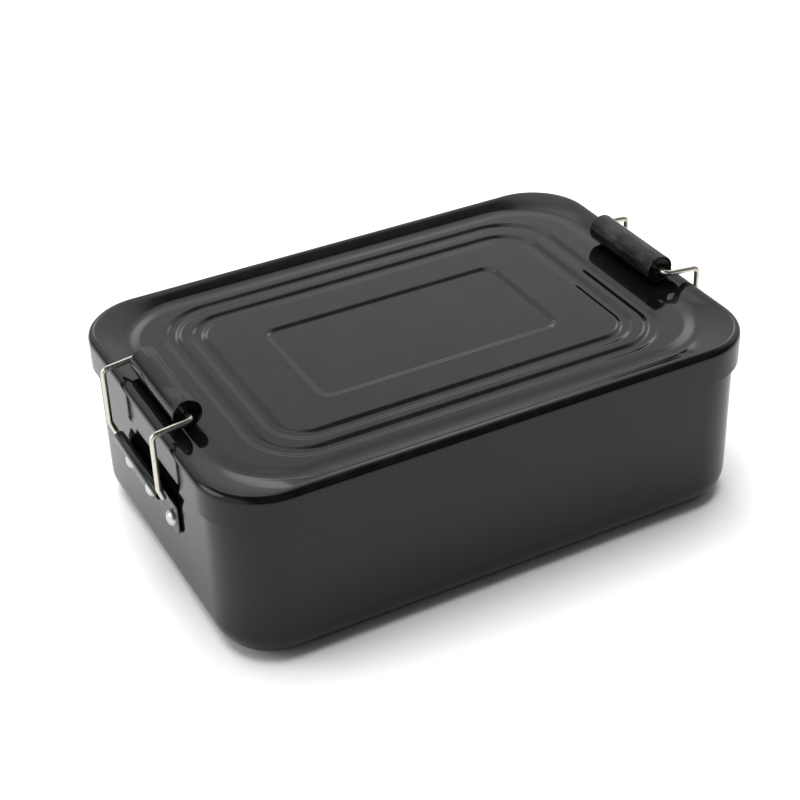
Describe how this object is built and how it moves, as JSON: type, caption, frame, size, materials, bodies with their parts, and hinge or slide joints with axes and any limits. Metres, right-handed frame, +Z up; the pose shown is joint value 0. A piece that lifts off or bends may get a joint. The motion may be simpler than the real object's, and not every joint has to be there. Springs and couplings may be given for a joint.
{
  "type": "metal lunch box",
  "caption": "Low rounded rectangular metal lunch box with a pressed lid, held shut by a hinged wire bail with a roller grip on each short end.",
  "frame": {"origin": "centre of the flat bottom, on the table", "axes": "+X along the long side towards the right clasp, +Y towards the back long side, +Z up"},
  "size_m": [0.1812, 0.118, 0.066],
  "materials": {
    "black_paint": "gloss black",
    "bracket_paint": "gloss black",
    "wire_nickel": "bright nickel",
    "rivet_metal": "bright",
    "grip_plug": "matt black"
  },
  "bodies": {
    "tub": {"tub": "black_paint", "left_hinge_bracket": "bracket_paint", "left_rivet_a": "rivet_metal", "left_rivet_b": "rivet_metal", "left_rivet_c": "rivet_metal", "right_hinge_bracket": "bracket_paint", "right_rivet_a": "rivet_metal", "right_rivet_b": "rivet_metal", "right_rivet_c": "rivet_metal"},
    "lid": {"lid": "black_paint"},
    "left_bail": {"left_wire_bail": "wire_nickel"},
    "right_bail": {"right_wire_bail": "wire_nickel"},
    "left_grip": {"left_grip_tube": "black_paint", "left_grip_plug_a": "grip_plug", "left_grip_plug_b": "grip_plug"},
    "right_grip": {"right_grip_tube": "black_paint", "right_grip_plug_a": "grip_plug", "right_grip_plug_b": "grip_plug"}
  },
  "joints": [
    {"name": "lid_lift", "type": "slide", "parent": "tub", "child": "lid", "axis": [0, 0, 1], "range_m": [0, 0.009]},
    {"name": "left_bail_hinge", "type": "hinge", "parent": "tub", "child": "left_bail", "pos_m": [-0.0884, 0, 0.0386], "axis": [0, -1, 0], "range_deg": [0, 165]},
    {"name": "right_bail_hinge", "type": "hinge", "parent": "tub", "child": "right_bail", "pos_m": [0.0884, 0, 0.0386], "axis": [0, 1, 0], "range_deg": [0, 165]},
    {"name": "left_grip_spin", "type": "hinge", "parent": "left_bail", "child": "left_grip", "pos_m": [-0.078, 0, 0.0616], "axis": [0, 1, 0], "continuous": true},
    {"name": "right_grip_spin", "type": "hinge", "parent": "right_bail", "child": "right_grip", "pos_m": [0.078, 0, 0.0616], "axis": [0, 1, 0], "continuous": true}
  ],
  "couplings": [
    {"joint": "left_bail_hinge", "follows": "lid_lift", "rad_per_m": 319.9},
    {"joint": "right_bail_hinge", "follows": "lid_lift", "rad_per_m": 319.9}
  ]
}
